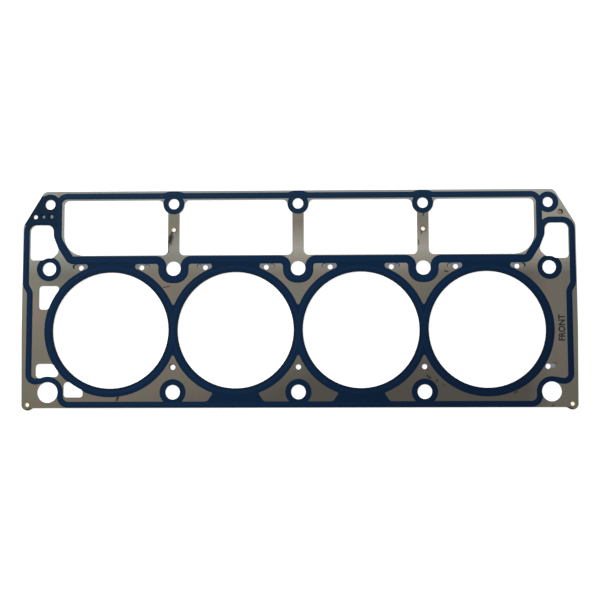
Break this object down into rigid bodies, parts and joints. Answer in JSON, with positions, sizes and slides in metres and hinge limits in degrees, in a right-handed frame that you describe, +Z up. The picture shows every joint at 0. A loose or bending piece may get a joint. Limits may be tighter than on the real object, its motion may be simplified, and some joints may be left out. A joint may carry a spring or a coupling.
{
  "type": "cylinder head gasket",
  "caption": "Multi-layer steel cylinder head gasket with beaded bore rings, valley windows and printed elastomer seal tracks.",
  "frame": {"origin": "middle of the head-bolt pattern, on the flat underside of the lower sheet", "axes": "+X along the row of bores to the front end, +Y to the valley side, +Z up through the gasket to the cylinder head"},
  "size_m": [0.4952, 0.1964, 0.0018],
  "materials": {
    "sheet_steel": "satin, rolled",
    "spacer_steel": "matt plated",
    "stopper_steel": "satin",
    "blue_elastomer": "satin printed film",
    "eyelet_brass": "dull"
  },
  "bodies": {
    "root": {"lower_sheet": "sheet_steel", "spacer_sheet": "spacer_steel", "upper_sheet": "sheet_steel", "lower_coat": "blue_elastomer", "upper_coat": "blue_elastomer", "stopper_ring_1": "stopper_steel", "stopper_ring_2": "stopper_steel", "stopper_ring_3": "stopper_steel", "stopper_ring_4": "stopper_steel", "eyelet_rear_ear": "eyelet_brass", "eyelet_front_ear": "eyelet_brass", "eyelet_rear_web": "eyelet_brass", "eyelet_front_web": "eyelet_brass"}
  },
  "joints": []
}
